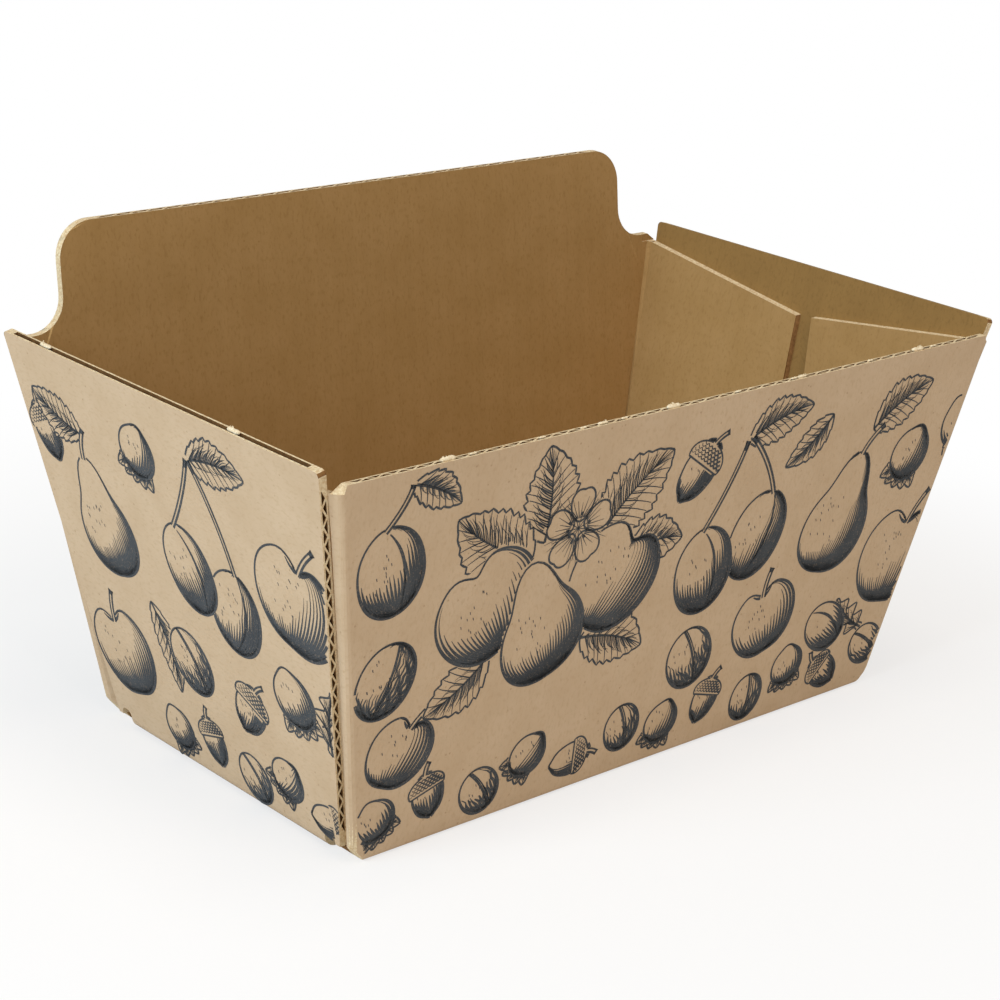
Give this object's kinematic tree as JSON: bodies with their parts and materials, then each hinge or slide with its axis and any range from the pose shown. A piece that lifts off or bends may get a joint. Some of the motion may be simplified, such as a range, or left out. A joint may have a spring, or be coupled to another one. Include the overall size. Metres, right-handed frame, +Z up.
{
  "type": "cardboard tray box",
  "caption": "Leaning open tray box folded and glued from one sheet of fine corrugated board, with a raised back wall.",
  "frame": {"origin": "centre of the base, on the underside it rests on", "axes": "+Z up, +X along the long sides, the low front wall towards -Y"},
  "size_m": [0.1532, 0.089, 0.0855],
  "materials": {
    "board": "matt kraft liner"
  },
  "bodies": {
    "root": {"tray_box": "board"}
  },
  "joints": []
}
